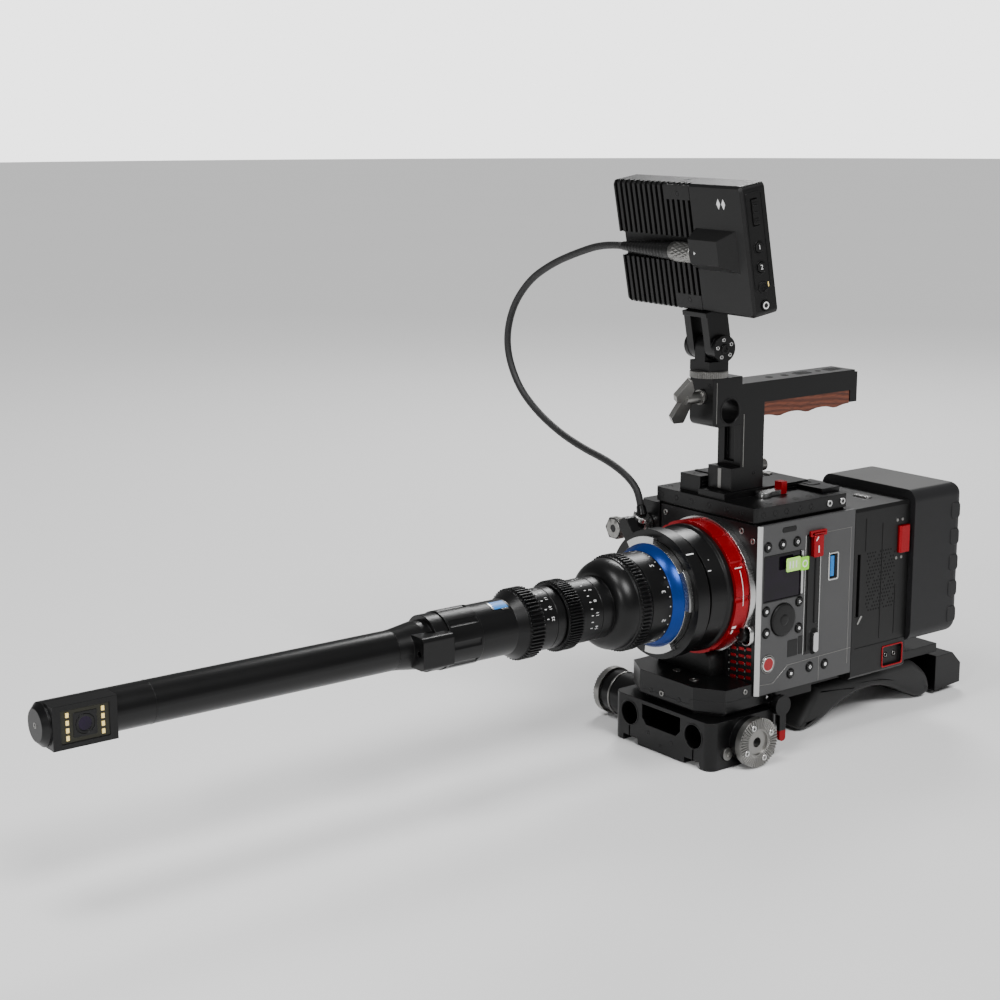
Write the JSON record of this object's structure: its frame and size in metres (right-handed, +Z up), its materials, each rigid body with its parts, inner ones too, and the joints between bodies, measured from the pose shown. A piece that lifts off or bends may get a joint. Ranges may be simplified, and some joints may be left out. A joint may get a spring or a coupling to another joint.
{
  "type": "cinema camera rig",
  "caption": "Box cinema camera with a long probe lens, rod base plate, shoulder pad, top handle, tilting field monitor and rear battery.",
  "frame": {"origin": "mouth of the tripod thread, in the middle of the base plate's underside", "axes": "+Z up, the lens points along -Y, the operator's side with the keys and card door is +X"},
  "size_m": [0.2526, 0.6784, 0.362],
  "materials": {
    "black_anodised": "fine satin anodising",
    "grey_paint": "satin paint",
    "dark_plastic": "fine grained plastic",
    "steel": "machined steel",
    "red_paint": "gloss anodised red",
    "foam_rubber": "moulded foam rubber",
    "cable_rubber": "braided cable jacket",
    "walnut": "oiled hardwood",
    "optical_glass": "coated",
    "screen_glass": "glossy",
    "led_resin": "glossy",
    "circuit_board": "matte"
  },
  "bodies": {
    "rig": {"back_module": "dark_plastic", "base_plate": "black_anodised", "body_shell": "black_anodised", "camera_mount": "steel", "camera_plate": "black_anodised", "camera_plug": "steel", "front_plate": "grey_paint", "handle": "black_anodised", "image_sensor": "circuit_board", "lens_barrel": "black_anodised", "lens_elements": "optical_glass", "mount_adapter": "black_anodised", "pad_bracket": "black_anodised", "plate_receiver": "black_anodised", "rosettes": "steel", "shoulder_pad": "foam_rubber", "side_panel": "grey_paint", "side_screen": "screen_glass", "top_plate": "black_anodised", "video_cable": "cable_rubber", "wood_grip": "walnut"},
    "clamp_screw": {"rod_clamp_screw": "steel"},
    "lock_lever": {"plate_lock_lever": "black_anodised"},
    "jog_dial": {"jog_dial": "dark_plastic"},
    "card_door": {"card_door": "grey_paint"},
    "card_latch": {"card_door_latch": "steel"},
    "top_lever": {"top_plate_lever": "red_paint"},
    "battery_release": {"battery_release": "red_paint"},
    "battery": {"battery": "dark_plastic"},
    "lock_ring": {"lock_ring": "red_paint"},
    "breech_ring": {"breech_ring": "black_anodised"},
    "focus_ring": {"focus_ring": "black_anodised"},
    "iris_ring": {"iris_ring": "black_anodised"},
    "module_nut": {"module_nut": "black_anodised"},
    "wing_lever": {"wing_lever": "steel"},
    "thumb_screw": {"thumb_screw": "steel"},
    "monitor_rocker": {"monitor_rocker": "dark_plastic"},
    "pan_base": {"pan_base": "black_anodised"},
    "record_key": {"record_key": "dark_plastic"},
    "menu_key_1": {"menu_key_1": "dark_plastic"},
    "menu_key_2": {"menu_key_2": "dark_plastic"},
    "menu_key_3": {"menu_key_3": "dark_plastic"},
    "dial_key_1": {"dial_key_1": "dark_plastic"},
    "dial_key_2": {"dial_key_2": "dark_plastic"},
    "dial_key_3": {"dial_key_3": "dark_plastic"},
    "dial_key_4": {"dial_key_4": "dark_plastic"},
    "function_key_1": {"function_key_1": "dark_plastic"},
    "function_key_2": {"function_key_2": "dark_plastic"},
    "function_key_3": {"function_key_3": "dark_plastic"},
    "monitor_key_one": {"monitor_key_one": "dark_plastic"},
    "monitor_key_two": {"monitor_key_two": "dark_plastic"},
    "monitor_power_key": {"monitor_power_key": "dark_plastic"},
    "probe": {"probe_tube": "black_anodised", "probe_head": "black_anodised", "probe_window": "optical_glass", "probe_lights": "led_resin"},
    "monitor": {"tilt_neck": "black_anodised", "monitor_case": "black_anodised", "monitor_screen": "screen_glass", "video_plug": "steel"}
  },
  "joints": [
    {"name": "clamp_screw_turn", "type": "hinge", "parent": "rig", "child": "clamp_screw", "pos_m": [0.045, -0.0165, 0.0093], "axis": [1, 0, 0], "range_deg": [-180, 180]},
    {"name": "lock_lever_swing", "type": "hinge", "parent": "rig", "child": "lock_lever", "pos_m": [0.049, 0.0268, 0.0368], "axis": [1, 0, 0], "range_deg": [0, 100]},
    {"name": "jog_dial_turn", "type": "hinge", "parent": "rig", "child": "jog_dial", "pos_m": [0.046, 0.0289, 0.0885], "axis": [1, 0, 0], "continuous": true},
    {"name": "record_key_press", "type": "slide", "parent": "rig", "child": "record_key", "axis": [-1, 0, 0], "range_m": [0, 0.0007], "stiffness_N_per_m": 700, "springref_m": -0.0004},
    {"name": "menu_key_1_press", "type": "slide", "parent": "rig", "child": "menu_key_1", "axis": [-1, 0, 0], "range_m": [0, 0.0007], "stiffness_N_per_m": 700, "springref_m": -0.0004},
    {"name": "menu_key_2_press", "type": "slide", "parent": "rig", "child": "menu_key_2", "axis": [-1, 0, 0], "range_m": [0, 0.0007], "stiffness_N_per_m": 700, "springref_m": -0.0004},
    {"name": "menu_key_3_press", "type": "slide", "parent": "rig", "child": "menu_key_3", "axis": [-1, 0, 0], "range_m": [0, 0.0007], "stiffness_N_per_m": 700, "springref_m": -0.0004},
    {"name": "dial_key_1_press", "type": "slide", "parent": "rig", "child": "dial_key_1", "axis": [-1, 0, 0], "range_m": [0, 0.0007], "stiffness_N_per_m": 700, "springref_m": -0.0004},
    {"name": "dial_key_2_press", "type": "slide", "parent": "rig", "child": "dial_key_2", "axis": [-1, 0, 0], "range_m": [0, 0.0007], "stiffness_N_per_m": 700, "springref_m": -0.0004},
    {"name": "dial_key_3_press", "type": "slide", "parent": "rig", "child": "dial_key_3", "axis": [-1, 0, 0], "range_m": [0, 0.0007], "stiffness_N_per_m": 700, "springref_m": -0.0004},
    {"name": "dial_key_4_press", "type": "slide", "parent": "rig", "child": "dial_key_4", "axis": [-1, 0, 0], "range_m": [0, 0.0007], "stiffness_N_per_m": 700, "springref_m": -0.0004},
    {"name": "function_key_1_press", "type": "slide", "parent": "rig", "child": "function_key_1", "axis": [-1, 0, 0], "range_m": [0, 0.0007], "stiffness_N_per_m": 700, "springref_m": -0.0004},
    {"name": "function_key_2_press", "type": "slide", "parent": "rig", "child": "function_key_2", "axis": [-1, 0, 0], "range_m": [0, 0.0007], "stiffness_N_per_m": 700, "springref_m": -0.0004},
    {"name": "function_key_3_press", "type": "slide", "parent": "rig", "child": "function_key_3", "axis": [-1, 0, 0], "range_m": [0, 0.0007], "stiffness_N_per_m": 700, "springref_m": -0.0004},
    {"name": "card_door_swing", "type": "hinge", "parent": "rig", "child": "card_door", "pos_m": [0.0452, 0.0493, 0.101], "axis": [0, 0, -1], "range_deg": [0, 90]},
    {"name": "card_latch_slide", "type": "slide", "parent": "card_door", "child": "card_latch", "axis": [0, 0, 1], "range_m": [0, 0.004]},
    {"name": "top_lever_swing", "type": "hinge", "parent": "rig", "child": "top_lever", "pos_m": [0.0175, 0.038, 0.162], "axis": [0, 0, -1], "range_deg": [0, 90]},
    {"name": "battery_release_press", "type": "slide", "parent": "rig", "child": "battery_release", "axis": [-1, 0, 0], "range_m": [0, 0.0016], "stiffness_N_per_m": 600, "springref_m": -0.0005},
    {"name": "battery_lift", "type": "slide", "parent": "rig", "child": "battery", "axis": [0, 0, 1], "range_m": [0, 0.025]},
    {"name": "lock_ring_turn", "type": "hinge", "parent": "rig", "child": "lock_ring", "pos_m": [0, -0.003, 0.10635], "axis": [0, 1, 0], "range_deg": [0, 40]},
    {"name": "breech_ring_turn", "type": "hinge", "parent": "rig", "child": "breech_ring", "pos_m": [0, -0.034, 0.10635], "axis": [0, 1, 0], "range_deg": [0, 45]},
    {"name": "focus_turn", "type": "hinge", "parent": "rig", "child": "focus_ring", "pos_m": [0, -0.09, 0.10635], "axis": [0, 1, 0], "range_deg": [-135, 135]},
    {"name": "iris_turn", "type": "hinge", "parent": "rig", "child": "iris_ring", "pos_m": [0, -0.138, 0.10635], "axis": [0, 1, 0], "range_deg": [-40, 40]},
    {"name": "module_nut_turn", "type": "hinge", "parent": "rig", "child": "module_nut", "pos_m": [0, -0.195, 0.10635], "axis": [0, 1, 0], "range_deg": [-45, 45]},
    {"name": "probe_turn", "type": "hinge", "parent": "rig", "child": "probe", "pos_m": [0, -0.3, 0.10635], "axis": [0, 1, 0], "continuous": true},
    {"name": "wing_lever_turn", "type": "hinge", "parent": "rig", "child": "wing_lever", "pos_m": [0.0003, -0.01, 0.2273], "axis": [0, 1, 0], "range_deg": [-150, 150]},
    {"name": "thumb_screw_turn", "type": "hinge", "parent": "rig", "child": "thumb_screw", "pos_m": [0, 0.05, 0.178], "axis": [0, 1, 0], "range_deg": [-180, 180]},
    {"name": "monitor_pan", "type": "hinge", "parent": "rig", "child": "pan_base", "pos_m": [0, 0.005, 0.24], "axis": [0, 0, 1], "range_deg": [-90, 90], "deforming": ["video_cable"]},
    {"name": "monitor_tilt", "type": "hinge", "parent": "pan_base", "child": "monitor", "pos_m": [0, 0.005, 0.2585], "axis": [0.9966, -0.0819, 0], "range_deg": [-90, 70], "deforming": ["video_cable"]},
    {"name": "monitor_key_one_press", "type": "slide", "parent": "monitor", "child": "monitor_key_one", "axis": [-0.9966, 0.0819, 0], "range_m": [0, 0.0006], "stiffness_N_per_m": 700, "springref_m": -0.0004},
    {"name": "monitor_key_two_press", "type": "slide", "parent": "monitor", "child": "monitor_key_two", "axis": [-0.9966, 0.0819, 0], "range_m": [0, 0.0006], "stiffness_N_per_m": 700, "springref_m": -0.0004},
    {"name": "monitor_power_key_press", "type": "slide", "parent": "monitor", "child": "monitor_power_key", "axis": [-0.9966, 0.0819, 0], "range_m": [0, 0.0006], "stiffness_N_per_m": 700, "springref_m": -0.0004},
    {"name": "monitor_rocker_tip", "type": "hinge", "parent": "monitor", "child": "monitor_rocker", "pos_m": [0.05349, -0.01202, 0.34422], "axis": [0.0807, 0.9815, 0.1736], "range_deg": [-6, 6], "stiffness_Nm_per_rad": 0.02}
  ]
}
